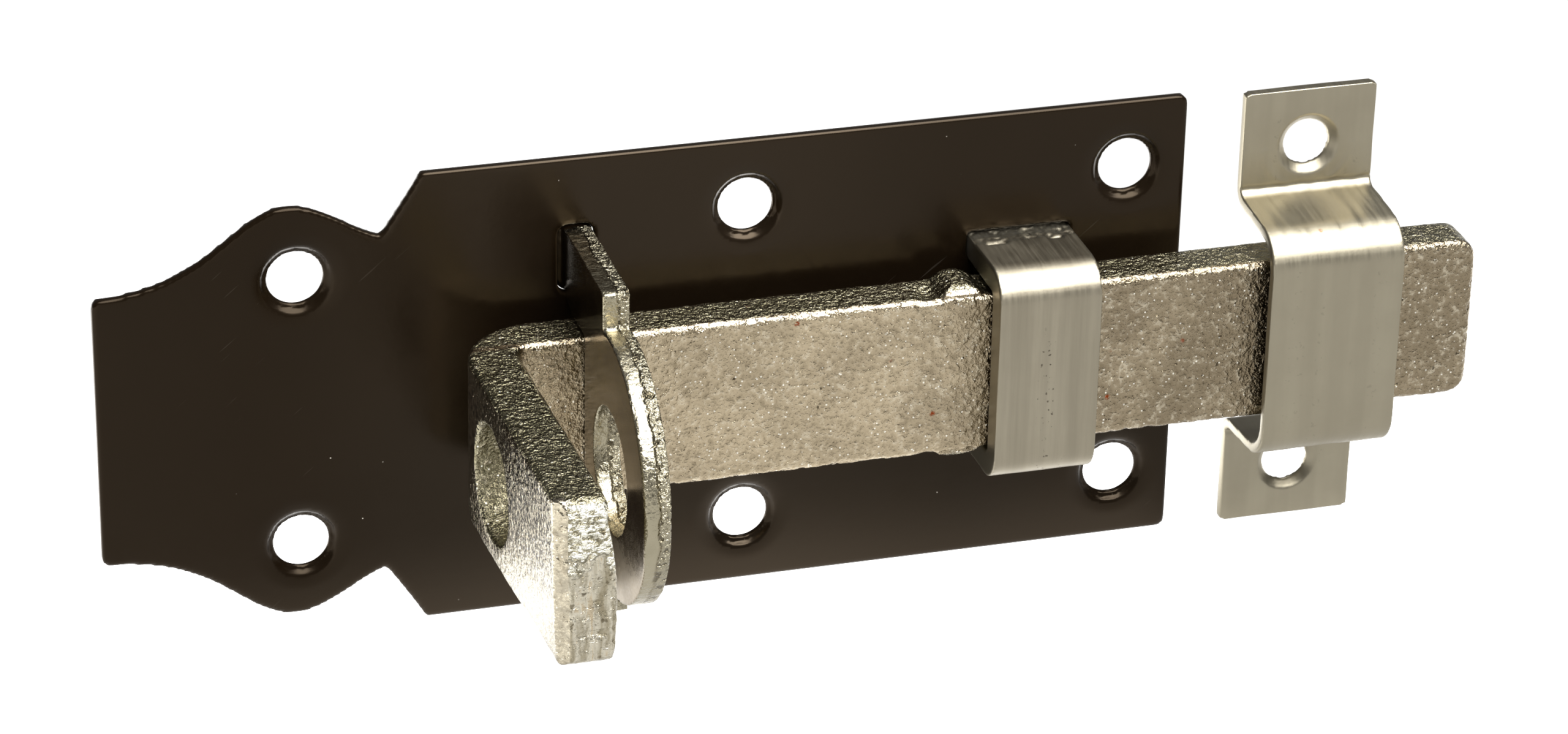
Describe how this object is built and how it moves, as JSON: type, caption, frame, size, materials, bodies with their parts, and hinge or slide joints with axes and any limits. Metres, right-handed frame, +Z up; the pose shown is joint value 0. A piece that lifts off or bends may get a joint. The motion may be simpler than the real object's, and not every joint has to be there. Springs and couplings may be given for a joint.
{
  "type": "padlockable slide bolt",
  "caption": "Flat slide bolt with a bent tail, held by a padlock eye and a guide strap on a slotted back plate, and a separate humped keeper for the end of the bolt.",
  "frame": {"origin": "middle of the back plate's back face", "axes": "+X is the throw of the bolt towards the keeper, -Y is the front, +Z is up with the bolt lying level"},
  "size_m": [0.1263, 0.0374, 0.0442],
  "materials": {
    "plate_paint": "satin dark brown paint",
    "bolt_zinc": "grainy zinc coat on hot rolled bar",
    "eye_zinc": "grainy zinc coat, smooth brown-toned faces",
    "strap_steel": "satin zinc coat with drawing lines",
    "keeper_steel": "satin zinc coat with press marks"
  },
  "bodies": {
    "plate_assembly": {"back_plate": "plate_paint", "padlock_eye": "eye_zinc", "guide_strap": "strap_steel"},
    "bolt": {"bolt": "bolt_zinc"},
    "keeper": {"keeper": "keeper_steel"}
  },
  "joints": [
    {"name": "bolt_slide", "type": "slide", "parent": "plate_assembly", "child": "bolt", "axis": [1, 0, 0], "range_m": [-0.031, 0.0008]},
    {"name": "keeper_slide", "type": "slide", "parent": "plate_assembly", "child": "keeper", "axis": [1, 0, 0], "range_m": [0, 0.045]}
  ]
}
